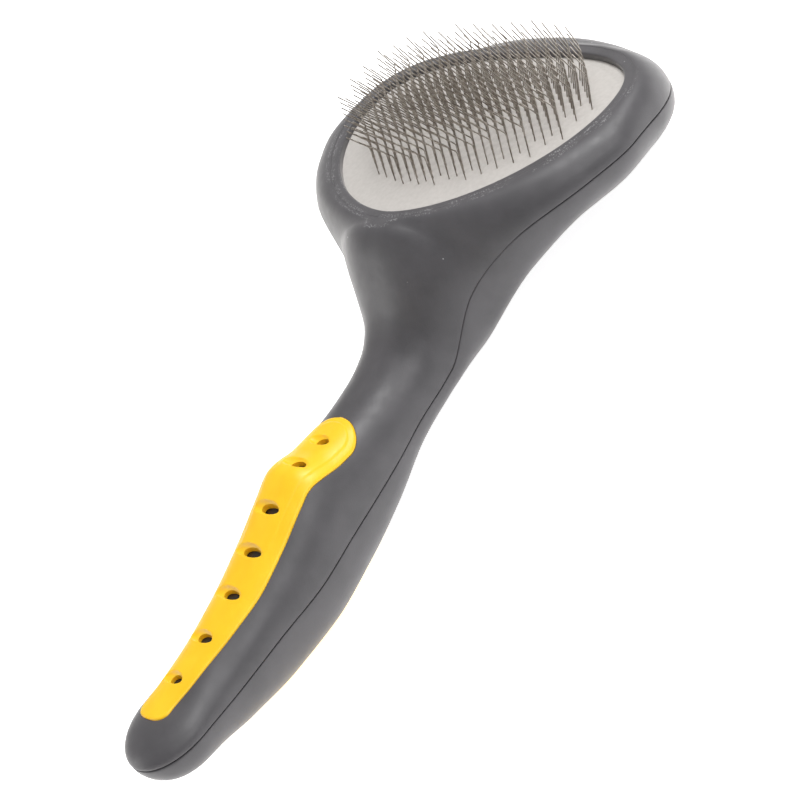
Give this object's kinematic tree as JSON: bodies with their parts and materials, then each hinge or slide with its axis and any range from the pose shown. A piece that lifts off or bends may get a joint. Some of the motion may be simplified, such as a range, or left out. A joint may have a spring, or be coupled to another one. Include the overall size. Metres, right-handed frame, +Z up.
{
  "type": "slicker brush",
  "caption": "Pet grooming slicker brush with a cushioned pad of bent wire pins in a wide egg-shaped head and a soft curved handle with a yellow grip insert.",
  "frame": {"origin": "middle of the base: on the surface the brush lies on, under the centre of its box", "axes": "+X from the handle's tip to the head's far end, +Y across the head, +Z up, on the side the pins stand"},
  "size_m": [0.2124, 0.1084, 0.046],
  "materials": {
    "front_soft_rubber": "soft matte",
    "back_soft_rubber": "soft matte",
    "front_core_plastic": "moulded",
    "back_core_plastic": "moulded",
    "front_insert_yellow": "satin",
    "back_insert_yellow": "satin",
    "pad_rubber": "matte",
    "woven_foundation": "woven",
    "cushion_foam": "open cell",
    "tray_plastic": "moulded",
    "pin_steel": "drawn wire"
  },
  "bodies": {
    "root": {"front_skin": "front_soft_rubber", "back_skin": "back_soft_rubber", "front_core": "front_core_plastic", "back_core": "back_core_plastic", "front_grip_insert": "front_insert_yellow", "back_grip_insert": "back_insert_yellow", "pad_face": "pad_rubber", "pad_foundation": "woven_foundation", "pad_cushion": "cushion_foam", "pad_tray": "tray_plastic", "pin_row_01": "pin_steel", "pin_row_02": "pin_steel", "pin_row_03": "pin_steel", "pin_row_04": "pin_steel", "pin_row_05": "pin_steel", "pin_row_06": "pin_steel", "pin_row_07": "pin_steel", "pin_row_08": "pin_steel", "pin_row_09": "pin_steel", "pin_row_10": "pin_steel", "pin_row_11": "pin_steel", "pin_row_12": "pin_steel", "pin_row_13": "pin_steel", "pin_row_14": "pin_steel", "pin_row_15": "pin_steel", "pin_row_16": "pin_steel", "pin_row_17": "pin_steel", "pin_row_18": "pin_steel", "pin_row_19": "pin_steel", "pin_row_20": "pin_steel"}
  },
  "joints": []
}
